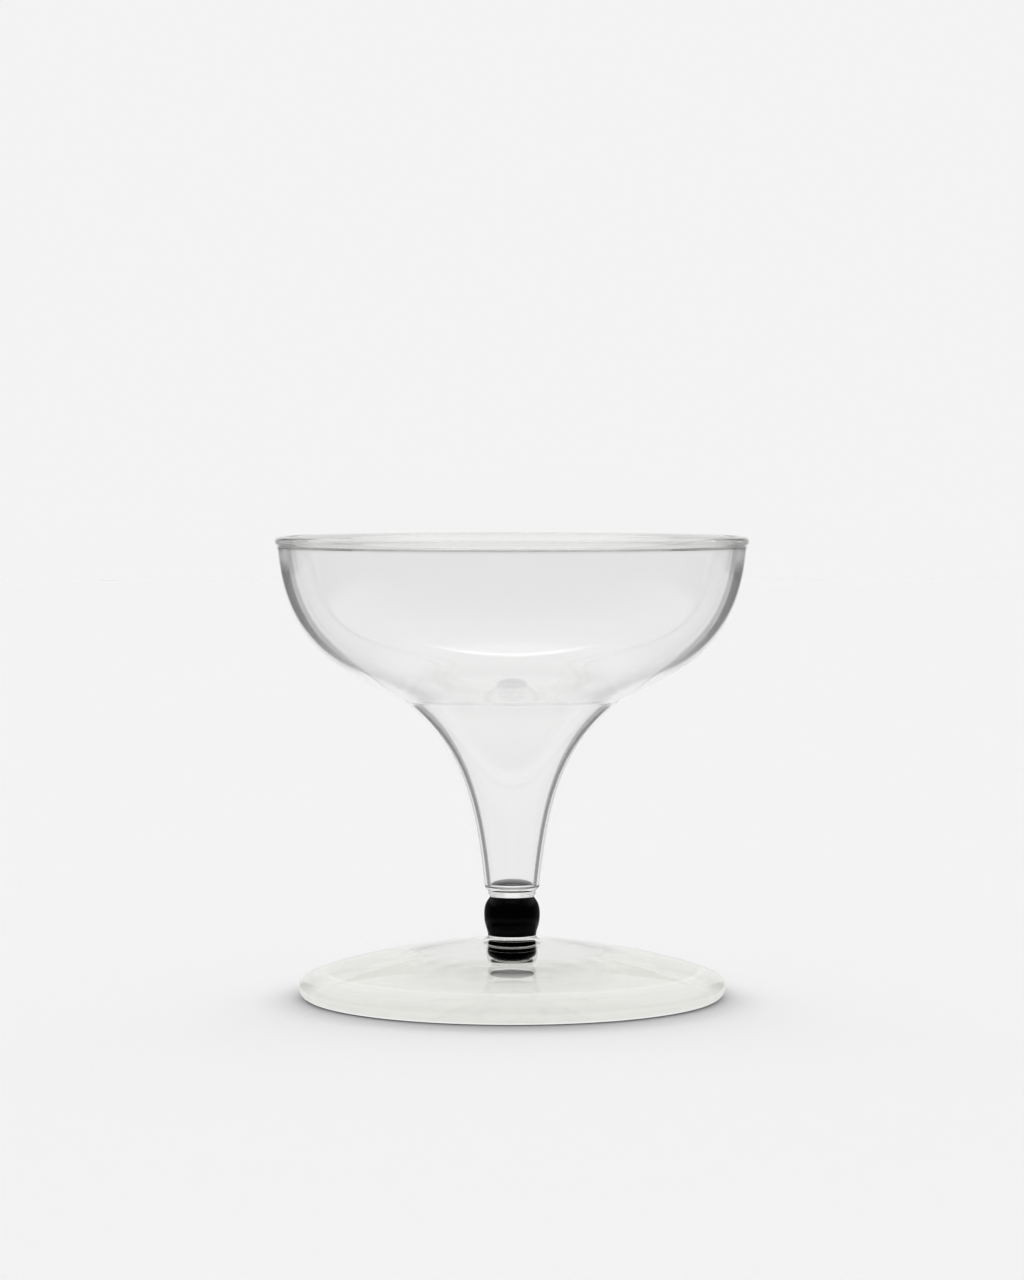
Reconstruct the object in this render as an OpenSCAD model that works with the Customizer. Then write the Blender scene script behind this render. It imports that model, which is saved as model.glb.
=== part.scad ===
// Coupe glass: a shallow blown bowl, open at its throat into a hollow trumpet stem, a clear plug,
// a black bead, a clear collar and a domed foot, all fused one on the other along one axis.
// Millimetres, +Z up. The origin is on the axis, in the plane that the foot rests on.

/* [Lip] */
// Diameter over the fire-polished lip
lip_d = 100; // [80:0.2:120]
// Height of the top of the lip above the table
lip_top_z = 97.3; // [88:0.1:110]
// Thickness of the rounded lip, measured inwards
lip_t = 3; // [2.6:0.1:4]
// Height of the rounded lip
lip_h = 2.1; // [1.6:0.1:3.2]
// How far the lip stands proud of the bowl's outside
lip_proud = 0.5; // [0.3:0.05:0.7]
// Height over which the lip's outer side runs down into the wall
lip_run_h = 1.3; // [1:0.1:2.2]

/* [Bowl] */
// Wall of the bowl below the lip
bowl_wall = 2; // [1.4:0.1:2.2]
// Inward lean of the bowl's wall below the lip, in degrees
bowl_lean = 4.2; // [3:0.2:7]
// Height of the seam where the bowl is fused to the stem
seam_z = 62.75; // [56:0.25:68]
// Outer diameter of the glass at that seam
seam_d = 45.8; // [38:0.2:51]
// Wall at that seam, measured level
seam_wall = 1.9; // [1.6:0.1:2.6]
// Rise of the bowl's underside just above the seam, in degrees
bowl_rise = 33.5; // [26:0.5:40]
// Rise of the bowl's inside just above the seam, in degrees
throat_rise = 42; // [38:1:48]

/* [Stem] */
// Rise of the stem's outside just below the seam, in degrees
flare_rise = 39.2; // [34:0.2:50]
// Outer diameter of the stem at its foot
stem_d = 11.6; // [10:0.1:14]
// Height of the foot of the stem
stem_z = 23.6; // [22:0.1:26]
// Wall of the stem at its foot
stem_wall = 1.2; // [0.9:0.1:1.8]
// Outward lean of the stem just above its foot, in degrees
stem_lean = 5.6; // [3:0.2:8]

/* [Plug and bead] */
// How far the plug's dome rises into the stem
plug_dome_h = 1.3; // [0.6:0.1:2.5]
// Diameter of the plug's collar at its waist
plug_waist_d = 10; // [8:0.1:10.6]
// Diameter of the bead at its belly
bead_d = 11.8; // [11:0.1:14]
// Height of the bead
bead_h = 8; // [6:0.1:9]
// Diameter of the bead's top, where the plug stands on it
bead_top_d = 9.4; // [8:0.1:10.6]
// Diameter of the bead's base, where it stands on the collar
bead_base_d = 10.2; // [9:0.1:10.8]

/* [Foot] */
// Diameter over the foot's edge
foot_d = 90.2; // [70:0.2:110]
// Height of the foot's crown, where the collar stands on it
crown_z = 12.2; // [9:0.1:13]
// Diameter of the crown
crown_d = 12.4; // [11:0.1:15]
// Height of the collar between the crown and the bead
collar_h = 0.8; // [0.5:0.1:1.6]
// Glass thickness of the foot under its crown
foot_t = 2.4; // [1.8:0.1:3]
// Height of the foot's rounded edge
edge_h = 4.4; // [3.6:0.1:5.4]
// How far in the rounding of the edge reaches
edge_w = 2.2; // [1.6:0.1:3]
// Width of the flat ring that the foot rests on
rest_w = 1.2; // [0.8:0.1:2]
// Fall of the foot's top beside the crown, in degrees
crown_fall = 8; // [5:0.5:12]
// Fall of the foot's top at its rounded edge, in degrees
edge_fall = 22; // [17:1:30]
// Fall of the foot's underside where it meets the flat ring, in degrees
under_fall = 24; // [18:1:30]

/* [Finish] */
// Faces round each piece
around = 96; // [48:24:192]
// Steps along each curve of an outline
steps = 24; // [12:4:48]

/* [Hidden] */
clear_glass = [0.86, 0.90, 0.89, 0.35];
black_glass = [0.02, 0.02, 0.02];

// The lip is an ellipse in section. Its outer side runs softly into the wall, and its inner side stands on it.
lip_centre = [lip_d / 2 - lip_t / 2, lip_top_z - lip_h / 2];
lip_side = [lip_d / 2, lip_centre[1]];
lip_inner_reach = lip_proud + bowl_wall - lip_t / 2;
lip_inner_turn = acos(lip_inner_reach / (lip_t / 2));
mouth_out = [lip_d / 2 - lip_proud, lip_centre[1] - lip_run_h];
mouth_in = lip_centre + [-lip_t / 2 * cos(lip_inner_turn), -lip_h / 2 * sin(lip_inner_turn)];

// The seam is a level ring, shared by the bowl and the stem.
seam_out = [seam_d / 2, seam_z];
seam_in = [seam_d / 2 - seam_wall, seam_z];
bowl_deep = mouth_out[1] - seam_z;

// How far each end of an outline holds its direction, as a share of the height that it spans.
wall_hold_share = 0.773;
underside_hold_share = 0.23;
inner_wall_hold_share = 0.778;
// The inside of the wall leans a little less than its outside.
inner_lean_share = 0.94;
throat_hold_share = 0.292;
lip_run_hold_share = 0.45;
flare_hold_share = 0.374;
shank_hold_share = 0.529;
well_flare_hold_share = 0.329;
well_shank_hold_share = 0.597;

stem_tall = seam_z - stem_z;
stem_out = [stem_d / 2, stem_z];
stem_in = [stem_d / 2 - stem_wall, stem_z];

collar_top_z = crown_z + collar_h;
bead_top_z = collar_top_z + bead_h;
plug_h = stem_z - bead_top_z;

// The bead's belly lies above its middle, and the shoulder over it is the rounder end.
belly_share = 0.56;
base_hold_share = 0.55;
shoulder_hold_share = 0.5;
shoulder_turn_share = 0.7;
belly_z = collar_top_z + belly_share * bead_h;

// The plug's collar is narrowest in its lower half.
waist_share = 0.4;
waist_hold_share = 0.3;

edge_centre = [foot_d / 2 - edge_w, edge_h / 2];
edge_turn = atan(edge_h / 2 / edge_w / tan(edge_fall));
shoulder = edge_centre + [edge_w * cos(edge_turn), edge_h / 2 * sin(edge_turn)];
crown = [crown_d / 2, crown_z];
dome_wide = shoulder[0] - crown[0];
crown_hold_share = 0.25;
edge_hold_share = 0.3;
rest_in = [edge_centre[0] - rest_w, 0];
under_crown = [0, crown_z - foot_t];
under_hold_share = 0.3;

// A point at a distance from p, in the direction of an angle from level.
function reach(p, distance, angle) = p + distance * [cos(angle), sin(angle)];

// A smooth curve that leaves a towards b and comes into d from c.
function curve(a, b, c, d) = [
    for (i = [0:steps])
        let (t = i / steps, u = 1 - t)
        u * u * u * a + 3 * u * u * t * b + 3 * u * t * t * c + t * t * t * d
];

// An arc of an ellipse, from one angle to another.
function arc(centre, wide, high, from, to) = [
    for (i = [0:steps])
        let (angle = from + (to - from) * i / steps)
        centre + [wide * cos(angle), high * sin(angle)]
];

// All the points of a list but its first.
function rest_of(list) = [for (i = [1:len(list) - 1]) list[i]];

// Outside of the bowl, from the seam up to the lip.
bowl_outside = curve(
    seam_out,
    reach(seam_out, underside_hold_share * bowl_deep, bowl_rise),
    reach(mouth_out, -wall_hold_share * bowl_deep, 90 - bowl_lean),
    mouth_out
);

// Outer side of the lip, from the wall up to where the lip is widest.
lip_flank = curve(
    mouth_out,
    reach(mouth_out, lip_run_hold_share * lip_run_h, 90 - bowl_lean),
    reach(lip_side, -lip_run_hold_share * lip_run_h, 90),
    lip_side
);

// Inside of the bowl, from the lip down through the throat to the seam.
bowl_inside = curve(
    mouth_in,
    reach(mouth_in, -inner_wall_hold_share * bowl_deep, 90 - inner_lean_share * bowl_lean),
    reach(seam_in, throat_hold_share * bowl_deep, throat_rise),
    seam_in
);

// Outside of the stem, from its foot up to the seam.
stem_outside = curve(
    stem_out,
    reach(stem_out, shank_hold_share * stem_tall, 90 - stem_lean),
    reach(seam_out, -flare_hold_share * stem_tall, flare_rise),
    seam_out
);

// The well inside the stem, from the seam down to its foot.
stem_inside = curve(
    seam_in,
    reach(seam_in, -well_flare_hold_share * stem_tall, throat_rise),
    reach(stem_in, well_shank_hold_share * stem_tall, 90 - stem_lean),
    stem_in
);

// Top of the foot's dome, from the crown out to the rounded edge.
foot_top = curve(
    crown,
    reach(crown, crown_hold_share * dome_wide, -crown_fall),
    reach(shoulder, -edge_hold_share * dome_wide, -edge_fall),
    shoulder
);

// Underside of the dome, from the flat ring in to the axis. The glass thickens towards its edge.
foot_under = curve(
    rest_in,
    reach(rest_in, under_hold_share * rest_in[0], 180 - under_fall),
    reach(under_crown, under_hold_share * rest_in[0], 0),
    under_crown
);

// Turns an outline round the glass's axis.
module turned(outline) {
    rotate_extrude($fn = around)
        polygon(outline);
}

module bowl() {
    lip = arc(lip_centre, lip_t / 2, lip_h / 2, 0, 180 + lip_inner_turn);
    color(clear_glass)
        turned(concat(bowl_outside, rest_of(lip_flank), rest_of(lip), rest_of(bowl_inside)));
}

module stem() {
    color(clear_glass)
        turned(concat(stem_outside, stem_inside));
}

// The plug carries the stem on its shoulder and closes the well with its dome.
module stem_plug() {
    foot_end = [bead_top_d / 2, bead_top_z];
    waist = [plug_waist_d / 2, bead_top_z + waist_share * plug_h];
    flank_low = curve(
        foot_end,
        reach(foot_end, waist_hold_share * plug_h, 90),
        reach(waist, -waist_hold_share * plug_h, 90),
        waist
    );
    flank_high = curve(
        waist,
        reach(waist, waist_hold_share * plug_h, 90),
        reach(stem_out, -waist_hold_share * plug_h, 90 - stem_lean),
        stem_out
    );
    dome = arc([0, stem_z], stem_in[0], plug_dome_h, 0, 90);
    color(clear_glass)
        turned(concat([[0, bead_top_z]], flank_low, rest_of(flank_high), dome));
}

module bead() {
    base = [bead_base_d / 2, collar_top_z];
    belly = [bead_d / 2, belly_z];
    top = [bead_top_d / 2, bead_top_z];
    below_belly = belly_z - collar_top_z;
    above_belly = bead_top_z - belly_z;
    lower = curve(
        base,
        reach(base, base_hold_share / 2 * below_belly, 90),
        reach(belly, -base_hold_share * below_belly, 90),
        belly
    );
    upper = curve(
        belly,
        reach(belly, shoulder_hold_share * above_belly, 90),
        [belly[0] + (top[0] - belly[0]) * (1 - shoulder_turn_share), belly_z + shoulder_turn_share * above_belly],
        top
    );
    color(black_glass)
        turned(concat([[0, collar_top_z]], lower, rest_of(upper), [[0, bead_top_z]]));
}

module foot_collar() {
    flank = curve(
        crown,
        reach(crown, (crown_d - bead_base_d) / 4, 180 - crown_fall),
        [bead_base_d / 2, collar_top_z - collar_h / 2],
        [bead_base_d / 2, collar_top_z]
    );
    color(clear_glass)
        turned(concat([[0, crown_z]], flank, [[0, collar_top_z]]));
}

module foot() {
    edge = arc(edge_centre, edge_w, edge_h / 2, edge_turn, -90);
    color(clear_glass)
        turned(concat([[0, crown_z]], foot_top, rest_of(edge), foot_under));
}

bowl();
stem();
stem_plug();
bead();
foot_collar();
foot();
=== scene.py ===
import math

import bpy
import numpy as np
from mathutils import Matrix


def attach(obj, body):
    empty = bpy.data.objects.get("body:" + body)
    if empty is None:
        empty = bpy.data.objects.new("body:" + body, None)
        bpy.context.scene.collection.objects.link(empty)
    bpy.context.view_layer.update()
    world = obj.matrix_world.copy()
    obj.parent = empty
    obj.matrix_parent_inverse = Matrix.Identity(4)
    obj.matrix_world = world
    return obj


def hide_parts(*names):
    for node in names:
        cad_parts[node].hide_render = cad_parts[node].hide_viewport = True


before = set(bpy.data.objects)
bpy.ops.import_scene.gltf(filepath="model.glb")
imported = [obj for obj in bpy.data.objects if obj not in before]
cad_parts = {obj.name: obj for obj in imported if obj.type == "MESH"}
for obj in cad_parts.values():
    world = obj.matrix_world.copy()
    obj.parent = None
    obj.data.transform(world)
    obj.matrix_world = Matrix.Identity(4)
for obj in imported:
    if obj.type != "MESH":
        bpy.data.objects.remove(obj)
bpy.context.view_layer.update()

MM = 0.001

# Sizes of the glass, in millimetres. D is a diameter, T or WALL a thickness, H a height, and Z or TOP a height above
# the table. LEAN, RISE and FALL are directions in degrees, LEAN from upright and the others from level.

# Lip of the bowl: it stands proud of the wall, which runs into it over a short height.
LIP_D, LIP_TOP, LIP_T, LIP_H, LIP_PROUD, LIP_RUN = 100.0, 97.3, 3.0, 2.1, 0.5, 1.3
# Bowl, from its wall down to the seam where it is fused to the stem.
BOWL_WALL, BOWL_LEAN = 2.0, 4.2
SEAM_Z, SEAM_D, SEAM_WALL = 62.75, 45.8, 1.9
BOWL_RISE, THROAT_RISE = 33.5, 42.0
# Stem, from the seam down to the shoulder of the plug.
FLARE_RISE, STEM_D, STEM_Z, STEM_WALL, STEM_LEAN = 39.2, 11.6, 23.6, 1.2, 5.6
# Plug, bead and collar.
DOME_H, WAIST_D, WAIST_AT = 1.3, 10.0, 0.4
BEAD_D, BEAD_H, BEAD_TOP_D, BEAD_BASE_D, BELLY_AT = 11.8, 8.0, 9.4, 10.2, 0.56
COLLAR_H, CROWN_Z, CROWN_D = 0.8, 12.2, 12.4
# Foot: W is a width measured inwards from the outside of its edge.
FOOT_D, FOOT_T, EDGE_H, EDGE_W, REST_W = 90.2, 2.4, 4.4, 2.2, 1.2
CROWN_FALL, EDGE_FALL, UNDER_FALL = 8.0, 22.0, 24.0

# How far a curve holds on in the direction of each of its ends, as a share of the height or width that it covers:
# first at the seam or the crown, then at its other end.
OUTSIDE_HOLD, INSIDE_HOLD = (0.23, 0.773), (0.292, 0.778)
FLARE_HOLD, WELL_HOLD = (0.374, 0.529), (0.329, 0.597)
TOP_HOLD, UNDER_HOLD = (0.25, 0.3), (0.3, 0.3)
LIP_HOLD, WAIST_HOLD = 0.45, 0.3
# The inside of the bowl leans a little less than its outside.
INSIDE_LEAN = 0.94 * BOWL_LEAN

# Steps round the axis, and along a long, a usual, a middling and a short curve.
AROUND = 288
LONG, FINE, MIDDLING, SHORT = 96, 72, 48, 24


def ahead(point, distance, degrees):
    """The point at a distance from another, in the direction of an angle from level."""
    turn = math.radians(degrees)
    return np.array(point, float) + distance * np.array([math.cos(turn), math.sin(turn)])


def cubic(a, b, c, d, steps=FINE):
    """A cubic curve: it leaves a towards b and comes into d from c. Each point is a, b, c and d weighed by (1-t)^3,
    3 (1-t)^2 t, 3 (1-t) t^2 and t^3, with t from 0 to 1."""
    t = np.linspace(0, 1, steps + 1)[:, None]
    a, b, c, d = (np.array(p, float) for p in (a, b, c, d))
    return (1 - t) ** 3 * a + 3 * (1 - t) ** 2 * t * b + 3 * (1 - t) * t * t * c + t ** 3 * d


def oval(centre, wide, high, start, end, steps=FINE):
    """Points of an ellipse from one angle to another: centre plus wide cos, high sin."""
    turn = np.radians(np.linspace(start, end, steps + 1))
    return np.array(centre) + np.stack([wide * np.cos(turn), high * np.sin(turn)], 1)


def joined(runs):
    """One outline from runs of points that follow each other, in metres, and the material's index of each span."""
    points = [np.array(runs[0][0], float)] + [np.array(run, float)[1:] for run, _ in runs[1:]]
    index = [np.full(len(run) - 1, slot) for run, slot in runs]
    return np.concatenate(points) * MM, np.concatenate(index)


def turned(name, runs, materials):
    """A solid of revolution. Its outline is a list of runs of points, each with the index of its material, that goes
    round the section anticlockwise, with the radius to the right. A run starts where the one before it ends. Each
    point at angle t lies at (r cos t, r sin t, z). An outline that starts and ends on the axis closes in two poles,
    and any other closes in itself."""
    points, index = joined(runs)
    poles = points[0, 0] < 1e-9 and points[-1, 0] < 1e-9
    rings = points[1:-1] if poles else points[:-1]
    side = index[1:-1] if poles else index
    n = len(rings)
    angle = np.linspace(0, 2 * math.pi, AROUND, endpoint=False)[:, None]
    spots = np.stack([rings[:, 0] * np.cos(angle), rings[:, 0] * np.sin(angle),
                      np.broadcast_to(rings[:, 1], (AROUND, n))], 2).reshape(-1, 3)
    i, j = np.arange(AROUND)[:, None], np.arange(len(side))[None]
    k, up = (i + 1) % AROUND, (j + 1) % n
    faces = np.stack([i * n + j, k * n + j, k * n + up, i * n + up], 2).reshape(-1, 4).tolist()
    slots = np.broadcast_to(side, (AROUND, len(side))).reshape(-1)
    if poles:
        first, last = len(spots), len(spots) + 1
        spots = np.concatenate([spots, [[0, 0, points[0, 1]], [0, 0, points[-1, 1]]]])
        i, k = i[:, 0], k[:, 0]
        faces += np.stack([k * n, i * n, np.full(AROUND, first)], 1).tolist()
        faces += np.stack([i * n + n - 1, k * n + n - 1, np.full(AROUND, last)], 1).tolist()
        slots = np.concatenate([slots, np.full(AROUND, index[0]), np.full(AROUND, index[-1])])
    mesh = bpy.data.meshes.new(name)
    mesh.from_pydata(spots.tolist(), [], faces)
    for material in materials:
        mesh.materials.append(material)
    mesh.polygons.foreach_set("material_index", slots.astype(np.int32))
    mesh.shade_smooth()
    mesh.set_sharp_from_angle(angle=math.radians(35))
    mesh.update()
    piece = bpy.data.objects.new(name, mesh)
    bpy.context.scene.collection.objects.link(piece)
    return piece


# Materials.


class Tree:
    """The nodes of a material or a world, with short ways to add to them. Any value may be a number or the output
    of another node."""

    def __init__(self, owner):
        self.nodes, self.links = owner.nodes, owner.links

    def add(self, kind, operation=None):
        node = self.nodes.new("ShaderNode" + kind)
        if operation:
            node.operation = operation
        return node

    def put(self, socket, value):
        if isinstance(value, bpy.types.NodeSocket):
            self.links.new(value, socket)
        else:
            socket.default_value = value

    def math(self, operation, *values):
        node = self.add("Math", operation)
        for socket, value in zip(node.inputs, values):
            self.put(socket, value)
        return node.outputs[0]

    def product(self, first, *others):
        for other in others:
            first = self.math("MULTIPLY", first, other)
        return first

    def clamp(self, *values):
        """The product of some values, kept between 0 and 1."""
        return self.math("MINIMUM", self.math("MAXIMUM", self.product(*values), 0), 1)

    def ramp(self, value, stops):
        """A grey ramp: pairs of place and level. The first and last levels go on beyond their places."""
        node = self.add("ValToRGB")
        self.put(node.inputs[0], value)
        row = node.color_ramp
        while len(row.elements) < len(stops):
            row.elements.new(0.5)
        for element, (place, level) in zip(row.elements, stops):
            element.position = place
            element.color = (level, level, level, 1)
        return node.outputs[0]

    def blend(self, factor, first, second):
        """Between two levels: first at factor 0, second at factor 1."""
        node = self.add("Mix")
        for socket, value in ((node.inputs[0], factor), (node.inputs[2], first), (node.inputs[3], second)):
            self.put(socket, value)
        return node.outputs[0]

    def shader(self, kind, **values):
        node = self.add(kind)
        for socket, value in values.items():
            self.put(node.inputs[socket.replace("_", " ")], value)
        return node.outputs[0]

    def mix(self, factor, first, second):
        """Between two shaders: first at factor 0, second at factor 1."""
        node = self.add("MixShader")
        for socket, value in zip(node.inputs, (factor, first, second)):
            self.put(socket, value)
        return node.outputs[0]

    def place(self):
        """The place on the piece, in metres."""
        return self.add("TexCoord").outputs["Object"]

    def height(self, scale):
        """Height above the table in metres, times a scale."""
        axes = self.add("SeparateXYZ")
        self.put(axes.inputs[0], self.place())
        return self.math("MULTIPLY", axes.outputs["Z"], scale)

    def from_axis(self):
        """Distance from the glass's axis in metres: the length of (x, y, 0)."""
        level, length = self.add("VectorMath", "MULTIPLY"), self.add("VectorMath", "LENGTH")
        self.put(level.inputs[0], self.place())
        self.put(level.inputs[1], (1, 1, 0))
        self.put(length.inputs[0], level.outputs[0])
        return length.outputs["Value"]

    def flatness(self):
        """How flat the surface is met: 0 square on, and 1 along it."""
        node = self.add("LayerWeight")
        self.put(node.inputs["Blend"], 0.5)
        return node.outputs["Facing"]

    def from_back(self):
        """1 where the surface is met from within, and 0 from outside."""
        return self.add("NewGeometry").outputs["Backfacing"]

    def from_front(self):
        return self.math("SUBTRACT", 1.0, self.from_back())


def material_tree(name):
    """A new material, its tree without a shader, and its output socket."""
    material = bpy.data.materials.new(name)
    material.use_nodes = True
    nodes = material.node_tree.nodes
    nodes.remove(nodes["Principled BSDF"])
    return material, Tree(material.node_tree), nodes["Material Output"].inputs["Surface"]


def grey(level):
    return (level, level, level, 1)


# Colours of the glass, for light that goes through its skin once, and how strongly it bends the light.
INDEX = 1.47
CLEAR_TINT, PLUG_TINT = (0.97, 0.97, 0.97), (1.0, 1.0, 1.0)
LIP_TINT = (0.975, 0.975, 0.965)
FOOT_TINT, FOOT_THIN_TINT = (0.90, 0.905, 0.88), (0.94, 0.945, 0.92)
# How much of the table's light gets by the clear glass, and by the thick foot.
CLEAR_SHADE, FOOT_SHADE = 0.97, 0.2


def ripple(tree, size, depth):
    """Slow swells in the surface, from noise on object coordinates, as hot glass keeps when it sets."""
    noise, bump = tree.add("TexNoise"), tree.add("Bump")
    tree.put(noise.inputs["Vector"], tree.place())
    tree.put(noise.inputs["Scale"], 1 / size)
    tree.put(noise.inputs["Detail"], 1.0)
    tree.put(bump.inputs["Height"], noise.outputs["Fac"])
    tree.put(bump.inputs["Strength"], 1.0)
    tree.put(bump.inputs["Distance"], depth)
    return bump.outputs["Normal"]


def solid_glass(tree, tint):
    """Clear glass that bends the light."""
    return tree.shader("BsdfPrincipled", Base_Color=tint + (1,), Transmission_Weight=1.0, Roughness=0.0, IOR=INDEX,
                       Normal=ripple(tree, 0.02, 0.00001))


def thin_glass(tree, tint, sheen):
    """Glass that mirrors on its outside, most where it is met flat, and otherwise lets the light straight on."""
    mirror = tree.math("MULTIPLY_ADD", tree.math("POWER", tree.flatness(), 5), sheen, 0.04)
    return tree.mix(tree.product(mirror, tree.from_front()), tree.shader("BsdfTransparent", Color=tint + (1,)),
                    tree.shader("BsdfGlossy", Color=grey(1), Roughness=0.0))


def let_by(tree, glass, shade):
    """A glass that lets a share of the light by on its way between two other surfaces."""
    rays = tree.add("LightPath")
    between = tree.math("MAXIMUM", rays.outputs["Is Shadow Ray"], rays.outputs["Is Diffuse Ray"])
    return tree.mix(between, glass, tree.shader("BsdfTransparent", Color=grey(shade)))


CLEAR, clear, clear_out = material_tree("clear_glass")
clear.put(clear_out, let_by(clear, solid_glass(clear, CLEAR_TINT), CLEAR_SHADE))

# The lip is fire-polished, so soft that little of what lies behind it can be made out.
LIP, lip, lip_out = material_tree("lip_glass")
lip.put(lip_out, let_by(lip, lip.mix(0.4, solid_glass(lip, LIP_TINT), thin_glass(lip, LIP_TINT, 0.7)), CLEAR_SHADE))


def foot_glass(tree):
    """The foot's glass bends the light near the crown, and less and less towards its thick soft edge."""
    soft = tree.ramp(tree.math("MULTIPLY", tree.from_axis(), 20), [
        (0, 0), (0.38, 0), (0.5, 0.8), (0.78, 0.85), (1, 0.85)])
    return tree.mix(soft, solid_glass(tree, FOOT_TINT), thin_glass(tree, FOOT_THIN_TINT, 0.45))


# Painted light: an emission makes the foot's thick edge glow, in two fine rings above it and in a bright line at the
# table, as painted highlights where light gathers in the thick edge.
FOOT_CLEAR, foot, foot_out = material_tree("foot_glass")
rings = foot.ramp(foot.math("MULTIPLY", foot.from_axis(), 20), [
    (0, 0), (0.785, 0), (0.795, 0.4), (0.8, 0.4), (0.808, 0.08), (0.826, 0.08), (0.832, 0.35), (0.838, 0)])
glow_line_at_table = foot.ramp(foot.height(100), [(0, 0.6), (0.035, 0.6), (0.06, 0), (1, 0)])
painted_glow = foot.product(foot.math("ADD", rings, glow_line_at_table), foot.from_front())
foot.put(foot_out, let_by(foot, foot.mix(painted_glow, foot_glass(foot), foot.shader("Emission", Color=grey(0.97))),
                          FOOT_SHADE))

# Under the crown the glass is met so flat from within that it mirrors the bead over and over.
UNDER, under, under_out = material_tree("foot_underside")
near_crown = under.math("LESS_THAN", under.from_axis(), 0.019)
met_flat = under.clamp(under.math("SUBTRACT", under.flatness(), 0.13), 20)
mirrored_bead = under.product(near_crown, under.from_back(), met_flat)
under.put(under_out, let_by(under, under.mix(
    mirrored_bead, foot_glass(under), under.shader("BsdfGlossy", Color=grey(0.95), Roughness=0.0)), FOOT_SHADE))

# Painted shade on the inner wall: black is mixed into its glass along both sides of the bowl and the stem, masked
# by how flat the wall is met and by height, where real glass mirrors wholly and shows the dark sides of a room. Its
# ramps run on height, from 0 at the table to 1 at 100 mm.
INNER, inner, inner_out = material_tree("inner_glass_painted_shade")
inner_height, inner_flatness = inner.height(10), inner.flatness()
fresnel = inner.add("Fresnel")
inner.put(fresnel.inputs["IOR"], INDEX)
mirror = fresnel.outputs[0]
# Where the wall mirrors wholly, a band is painted dark, counted from its outer side. It is narrow in the stem, gone
# at the throat, and grows to its whole width up the bowl.
outer_side = inner.ramp(inner_height, [
    (0.236, 0.37), (0.36, 0.338), (0.48, 0.310), (0.58, 0.288), (0.627, 0.279), (0.66, 0.285), (0.75, 0.2905),
    (0.84, 0.2925), (1, 0.2925)])
band_width = inner.math("SUBTRACT", outer_side, 0.266)
band_share = inner.ramp(inner_height, [(0, 1), (0.627, 1), (0.66, 0.25), (0.78, 0.35), (0.84, 1), (1, 1)])
in_band = inner.clamp(inner.math("DIVIDE", inner.math("SUBTRACT", outer_side, inner_flatness), band_width),
                      band_share, 5)
band_level = inner.ramp(inner_height, [
    (0, 0.62), (0.627, 0.62), (0.628, 0), (0.695, 0), (0.72, 0.35), (0.77, 0.56), (0.82, 0.64), (0.90, 0.62),
    (0.93, 0.16), (1, 0.1)])
band_painted_shade = inner.product(inner.ramp(mirror, [(0, 0), (0.85, 0), (0.95, 1), (1, 1)]), in_band, band_level)
# Beside it, where the wall mirrors in part, lies a fainter border of painted shade.
border_limit = inner.ramp(inner_height, [(0, 0.22), (0.627, 0.22), (0.66, 0.6), (0.71, 0.5), (0.75, 0.3), (1, 0.3)])
border_painted_shade = inner.product(inner.clamp(inner.math("SUBTRACT", mirror, border_limit), 15),
                       inner.ramp(mirror, [(0, 1), (0.9, 1), (0.95, 0), (1, 0)]))
border_level = inner.ramp(inner_height, [
    (0, 0.25), (0.627, 0.25), (0.628, 0), (0.66, 0), (0.675, 0.22), (0.715, 0.22), (0.75, 0.17), (1, 0.17)])
# Just under the lip a fine line of painted shade goes all round, where the wall is seen from within.
under_lip_painted_shade = inner.product(
    inner.ramp(inner_height, [(0, 0), (0.9490, 0), (0.9505, 0.6), (0.9540, 0.6), (0.9548, 0), (1, 0)]),
    inner.from_back())
inner_painted_shade = inner.math("ADD", inner.math("ADD", band_painted_shade, inner.product(border_painted_shade, border_level)), under_lip_painted_shade)
inner.put(inner_out, let_by(inner, inner.mix(inner_painted_shade, solid_glass(inner, CLEAR_TINT),
                                             inner.shader("BsdfDiffuse", Color=grey(0))), CLEAR_SHADE))

# The plug has two lines of painted shade, black mixed into its glass: one all round at its shoulder, and a short one
# at the middle of its waist, shortened by how flat the plug is met. Their ramps run on height, from 0 at the table to
# 1 at 25 mm.
PLUG, plug, plug_out = material_tree("plug_glass")
plug_height = plug.height(40)
waist_painted_shade = plug.product(
    plug.ramp(plug_height, [(0, 0), (0.895, 0), (0.898, 0.9), (0.909, 0.9), (0.912, 0), (1, 0)]),
    plug.clamp(plug.math("SUBTRACT", 0.57, plug.flatness()), 12))
shoulder_painted_shade = plug.ramp(plug_height, [(0, 0), (0.933, 0), (0.936, 0.8), (0.9442, 0.8), (0.945, 0), (1, 0)])
plug_painted_shade = plug.product(plug.math("ADD", waist_painted_shade, shoulder_painted_shade), plug.from_front())
plug.put(plug_out, let_by(plug, plug.mix(plug_painted_shade, solid_glass(plug, PLUG_TINT),
                                         plug.shader("BsdfDiffuse", Color=grey(0))), CLEAR_SHADE))

# Black glass, so deep that it hardly shines, and the faces inside it that only refraction shows.
BLACK, black, black_out = material_tree("black_glass")
black.put(black_out, black.shader("BsdfPrincipled", Base_Color=grey(0.001), Roughness=0.0, IOR=1.5,
                                  Specular_IOR_Level=0.05, Normal=ripple(black, 0.004, 0.00001)))
CORE, core, core_out = material_tree("black_glass_core")
core.put(core_out, core.shader("BsdfDiffuse", Color=grey(0.001)))

# Where two pieces are fused there is no surface, so light goes straight on.
FUSED, fused, fused_out = material_tree("fused_joint")
fused.put(fused_out, fused.shader("BsdfTransparent", Color=grey(1)))

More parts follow.
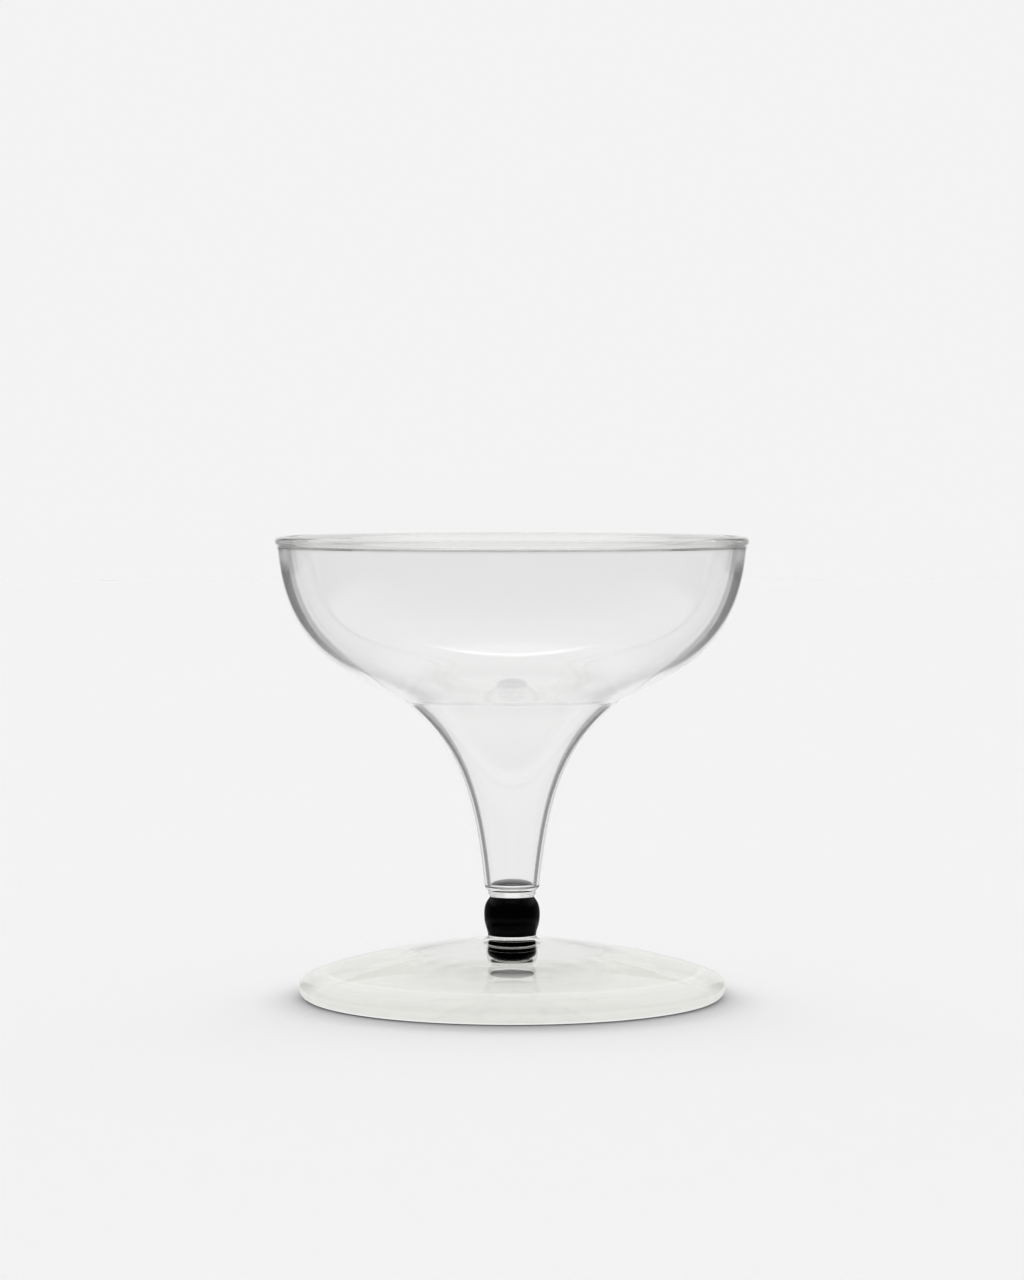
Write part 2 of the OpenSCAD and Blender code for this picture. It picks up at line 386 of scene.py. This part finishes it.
# The materials of each kind of piece, in the order of their indices.
SKIN, JOINT, INSIDE, ROUND = 0, 1, 2, 3
CLEAR_SET, PLUG_SET = [CLEAR, FUSED, INNER, LIP], [PLUG, FUSED]
BEAD_SET, FOOT_SET = [BLACK, CORE], [FOOT_CLEAR, FUSED, UNDER]

# Points of the outline, as radius and height, that two or more pieces share.
lip_centre = np.array([LIP_D / 2 - LIP_T / 2, LIP_TOP - LIP_H / 2])
lip_side = (LIP_D / 2, lip_centre[1])
mouth_out = (LIP_D / 2 - LIP_PROUD, lip_centre[1] - LIP_RUN)
seam_out = (SEAM_D / 2, SEAM_Z)
seam_in = (SEAM_D / 2 - SEAM_WALL, SEAM_Z)
stem_out = (STEM_D / 2, STEM_Z)
stem_in = (STEM_D / 2 - STEM_WALL, STEM_Z)
collar_top = CROWN_Z + COLLAR_H
bead_top = collar_top + BEAD_H
crown = (CROWN_D / 2, CROWN_Z)
bead_foot = (BEAD_BASE_D / 2, collar_top)
bead_head = (BEAD_TOP_D / 2, bead_top)


def make_bowl():
    """The bowl: a cubic up its outside from the seam, a short one out to the lip, an ellipse over the lip until it
    meets the wall's thickness, and a cubic down its inside through the throat."""
    deep = mouth_out[1] - SEAM_Z
    outside = cubic(seam_out, ahead(seam_out, OUTSIDE_HOLD[0] * deep, BOWL_RISE),
                    ahead(mouth_out, -OUTSIDE_HOLD[1] * deep, 90 - BOWL_LEAN), mouth_out)
    flank = cubic(mouth_out, ahead(mouth_out, LIP_HOLD * LIP_RUN, 90 - BOWL_LEAN),
                  ahead(lip_side, -LIP_HOLD * LIP_RUN, 90), lip_side, SHORT)
    inner_turn = math.degrees(math.acos((LIP_PROUD + BOWL_WALL - LIP_T / 2) / (LIP_T / 2)))
    over = oval(lip_centre, LIP_T / 2, LIP_H / 2, 0, 180 + inner_turn)
    inside = cubic(over[-1], ahead(over[-1], -INSIDE_HOLD[1] * deep, 90 - INSIDE_LEAN),
                   ahead(seam_in, INSIDE_HOLD[0] * deep, THROAT_RISE), seam_in)
    return turned("bowl_glass", [(outside, SKIN), (flank, ROUND), (over, ROUND), (inside, INSIDE),
                                 ([seam_in, seam_out], JOINT)], CLEAR_SET)


def make_stem():
    """The stem: a drawn tube, open inside, whose outside and inside are cubics that flare up to the seam."""
    tall = SEAM_Z - STEM_Z
    outside = cubic(stem_out, ahead(stem_out, FLARE_HOLD[1] * tall, 90 - STEM_LEAN),
                    ahead(seam_out, -FLARE_HOLD[0] * tall, FLARE_RISE), seam_out)
    inside = cubic(seam_in, ahead(seam_in, -WELL_HOLD[0] * tall, THROAT_RISE),
                   ahead(stem_in, WELL_HOLD[1] * tall, 90 - STEM_LEAN), stem_in)
    return turned("stem_glass", [(outside, SKIN), ([seam_out, seam_in], JOINT), (inside, INSIDE),
                                 ([stem_in, stem_out], JOINT)], CLEAR_SET)


def make_plug():
    """The plug: a collar of two cubics that meet at its waist, upright, and an elliptic dome inside the stem."""
    high = STEM_Z - bead_top
    waist = (WAIST_D / 2, bead_top + WAIST_AT * high)
    hold = WAIST_HOLD * high
    lower = cubic(bead_head, ahead(bead_head, hold, 90), ahead(waist, -hold, 90), waist, SHORT)
    upper = cubic(waist, ahead(waist, hold, 90), ahead(stem_out, -hold, 90 - STEM_LEAN), stem_out, SHORT)
    dome = oval((0, STEM_Z), stem_in[0], DOME_H, 0, 90, MIDDLING)
    dome[-1, 0] = 0
    return turned("stem_plug_glass", [([(0, bead_top), bead_head], JOINT), (lower, SKIN), (upper, SKIN),
                                      ([stem_out, stem_in], JOINT), (dome, SKIN)], PLUG_SET)


def make_bead():
    """The bead: two cubics that meet at its belly, upright. The belly lies above its middle, and its shoulder is
    rounder than its base."""
    belly = (BEAD_D / 2, collar_top + BELLY_AT * BEAD_H)
    low, high = belly[1] - collar_top, bead_top - belly[1]
    lower = cubic(bead_foot, ahead(bead_foot, 0.275 * low, 90), ahead(belly, -0.55 * low, 90), belly, MIDDLING)
    shoulder = (belly[0] + (bead_head[0] - belly[0]) * 0.3, belly[1] + 0.7 * high)
    upper = cubic(belly, ahead(belly, 0.5 * high, 90), shoulder, bead_head, MIDDLING)
    return turned("bead_glass", [([(0, collar_top), bead_foot], JOINT), (lower, SKIN), (upper, SKIN),
                                 ([bead_head, (0, bead_top)], JOINT)], BEAD_SET)


def make_collar():
    """The short clear collar: a cubic that leaves along the crown of the foot and turns upright into the bead."""
    flank = cubic(crown, ahead(crown, (CROWN_D - BEAD_BASE_D) / 4, 180 - CROWN_FALL),
                  (bead_foot[0], collar_top - COLLAR_H / 2), bead_foot, SHORT)
    return turned("foot_collar_glass", [([(0, CROWN_Z), crown], JOINT), (flank, SKIN),
                                        ([bead_foot, (0, collar_top)], JOINT)], CLEAR_SET)


def make_foot():
    """The foot: a thin dome that thickens towards a round edge, hollow below, on a narrow flat ring. Its top and its
    underside are cubics, and its edge is an ellipse that the top meets in its own direction."""
    centre = np.array([FOOT_D / 2 - EDGE_W, EDGE_H / 2])
    meet = math.degrees(math.atan(EDGE_H / 2 / EDGE_W / math.tan(math.radians(EDGE_FALL))))
    edge = oval(centre, EDGE_W, EDGE_H / 2, -90, meet)
    wide = edge[-1][0] - crown[0]
    top = cubic(crown, ahead(crown, TOP_HOLD[0] * wide, -CROWN_FALL),
                ahead(edge[-1], -TOP_HOLD[1] * wide, -EDGE_FALL), edge[-1], LONG)
    rest = (centre[0] - REST_W, 0.0)
    under_crown = (0.0, CROWN_Z - FOOT_T)
    underside = cubic(under_crown, ahead(under_crown, UNDER_HOLD[0] * rest[0], 0),
                      ahead(rest, UNDER_HOLD[1] * rest[0], 180 - UNDER_FALL), rest, LONG)
    return turned("foot_glass", [(underside, INSIDE), ([rest, edge[0]], SKIN), (edge, SKIN),
                                 (top[::-1], SKIN), ([crown, (0, CROWN_Z)], JOINT)], FOOT_SET)


for make, node, slot in ((make_bowl, "bowl", "clear_glass"), (make_stem, "stem", "clear_glass"),
                         (make_plug, "stem_plug", "clear_glass"), (make_bead, "bead", "black_glass"),
                         (make_collar, "foot_collar", "clear_glass"), (make_foot, "foot", "clear_glass")):
    piece = make()
    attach(piece, "root")
    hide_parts(node)

# Surroundings. PALE is the paper of the floor and the backdrop, and DIM the gaps between the studio's pale panels.

PALE, DIM = 0.896, 0.5
FLOOR_R, FLOOR_SIDES = 3.0, 96

world = bpy.data.worlds.new("studio")
bpy.context.scene.world = world
world.use_nodes = True
sky = Tree(world.node_tree)
parts = sky.add("SeparateXYZ")
sky.put(parts.inputs[0], sky.add("TexCoord").outputs["Generated"])
east, north, up = parts.outputs

# Place round the horizon, 0 straight behind the glass and 1 straight in front.
around = sky.math("DIVIDE", sky.math("ABSOLUTE", sky.math("ARCTAN2", east, north)), math.pi)
# Place in the upright plane through the camera: 0 behind, 0.5 overhead and 1 in front.
over = sky.math("DIVIDE", sky.math("ARCTAN2", up, north), math.pi)

# Seen through the glass: pale panels stand round the table every 90 degrees, with dimmer gaps between them. Below the
# level of the glass the gaps narrow towards the table, and close. Half a panel is a share of 45 degrees wide.
quarter = sky.math("MULTIPLY", sky.math("PINGPONG", around, 0.25), 4)
half_panel = sky.ramp(sky.math("MULTIPLY", up, -5), [
    (0, 12 / 45), (0.26, 12 / 45), (0.48, 22 / 45), (0.75, 1), (1, 1)])
past_panel = sky.math("ADD", sky.math("SUBTRACT", quarter, half_panel), 0.1)
in_gap = sky.ramp(past_panel, [(0, 0), (0.1, 0), (0.13, 1), (1, 1)])
rise = sky.math("ADD", sky.math("MULTIPLY", up, 4), 0.5)
panel_level = sky.ramp(rise, [(0.26, 0.91), (0.42, 0.87), (0.5, 0.86), (0.6, 0.9)])
gap_level = sky.ramp(rise, [(0.3, 0.7), (0.4, DIM), (0.5, DIM), (0.6, 0.75)])
aloft = sky.ramp(sky.math("ADD", sky.math("MULTIPLY", up, 0.5), 0.5),
                 [(0, 1), (0.42, 1), (0.43, 0), (0.66, 0), (0.72, 1), (1, 1)])
level_through = sky.blend(aloft, sky.blend(in_gap, panel_level, gap_level), 0.9)

# Mirrored in the glass: one pale panel behind, a soft light that grows from overhead to behind, and a bright strip
# in it with a soft lower border.
behind = sky.ramp(around, [(0, 0.9), (14 / 180, 0.9), (18 / 180, 0.2), (75 / 180, 0.2), (85 / 180, 0.03), (1, 0.03)])
soft = sky.ramp(over, [(0, 0.9), (0.12, 0.9), (0.36, 0.9), (0.5, 0.7), (0.75, 0.03), (1, 0.03)])
high = sky.ramp(up, [(0, 0), (0.3, 0), (0.4, 1), (1, 1)])
strip_up = sky.ramp(over, [
    (0, 0), (0.356, 0), (0.366, 1), (0.372, 1), (0.382, 0.3), (0.43, 0.25), (0.46, 0), (1, 0)])
strip_wide = sky.ramp(around, [(0, 1), (25 / 180, 1), (45 / 180, 0), (1, 0)])
level_mirror = sky.math("ADD", sky.blend(high, behind, soft), sky.product(strip_up, strip_wide, 3))

# On the table: an even light, and a part of it low from behind, so that the foot's shadow falls forward.
low_up = sky.ramp(up, [(0, 0), (0.05, 0), (0.06, 1), (0.40, 1), (0.44, 0), (1, 0)])
low_wide = sky.ramp(around, [(0, 1), (55 / 180, 1), (65 / 180, 0), (1, 0)])
level_table = sky.math("ADD", 0.6, sky.product(low_up, low_wide, 6.9))

sky_rays = sky.add("LightPath").outputs
level = sky.blend(sky_rays["Is Glossy Ray"], level_table, level_mirror)
level = sky.blend(sky_rays["Is Transmission Ray"], level, level_through)
level = sky.blend(sky_rays["Is Camera Ray"], level, PALE)
sky.put(sky.nodes["Background"].inputs["Color"], level)

# The floor is matte where it is seen directly, and keeps the glass's shadow. Mirrored in the glass or seen through it,
# it is an emission that gives way to the panels further out: seen through the glass it is plain paper, and mirrored in
# it it carries painted shade, at a level of 0.75 within 6 cm of the axis, below the foot, and 0.25 beyond 9 cm.
PAPER, paper, paper_out = material_tree("pale_floor")
paper_rays = paper.add("LightPath").outputs
mirrored, seen_through = paper_rays["Is Glossy Ray"], paper_rays["Is Transmission Ray"]
straight_through = paper.math("GREATER_THAN", paper_rays["Transparent Depth"], 0.5)
reach = paper.from_axis()
far = paper.ramp(reach, [(0.10, 0), (0.14, 1)])
mirrored_floor_shade = paper.ramp(reach, [(0, 0.75), (0.06, 0.75), (0.09, 0.25), (1, 0.25)])
tone = paper.blend(mirrored, PALE, paper.blend(seen_through, mirrored_floor_shade, PALE))
paper_in_glass = paper.mix(far, paper.shader("Emission", Color=tone), paper.shader("BsdfTransparent", Color=grey(1)))
through_glass = paper.math("MAXIMUM", straight_through, paper.math("MAXIMUM", mirrored, seen_through))
paper.put(paper_out, paper.mix(through_glass, paper.shader("BsdfDiffuse", Color=grey(PALE)), paper_in_glass))

# A wide disc at the height of the table: each corner at angle t lies at (r cos t, r sin t, 0).
floor_turn = np.linspace(0, 2 * math.pi, FLOOR_SIDES, endpoint=False)
floor_mesh = bpy.data.meshes.new("floor")
floor_mesh.from_pydata(np.stack([FLOOR_R * np.cos(floor_turn), FLOOR_R * np.sin(floor_turn),
                                 np.zeros(FLOOR_SIDES)], 1).tolist(), [], [list(range(FLOOR_SIDES))])
floor_mesh.materials.append(PAPER)
floor = bpy.data.objects.new("floor", floor_mesh)
bpy.context.scene.collection.objects.link(floor)

# Camera, in metres: the photograph's own place, turned down a little.
TALL_PIXELS, LENS_PIXELS = 1280, 3902
CAMERA_PLACE, CAMERA_DOWN = (0, -0.8221, 0.1123), 2.57
camera = bpy.data.cameras.new("camera")
camera.sensor_fit = "VERTICAL"
camera.sensor_height = 36
camera.lens = LENS_PIXELS / TALL_PIXELS * camera.sensor_height
eye = bpy.data.objects.new("camera", camera)
bpy.context.scene.collection.objects.link(eye)
eye.location = CAMERA_PLACE
eye.rotation_euler = (math.pi / 2 - math.radians(CAMERA_DOWN), 0, 0)
bpy.context.scene.camera = eye

scene = bpy.context.scene
scene.view_settings.view_transform = "Standard"
scene.cycles.max_bounces = 32
scene.cycles.transmission_bounces = 32
scene.cycles.glossy_bounces = 24
scene.cycles.transparent_max_bounces = 32
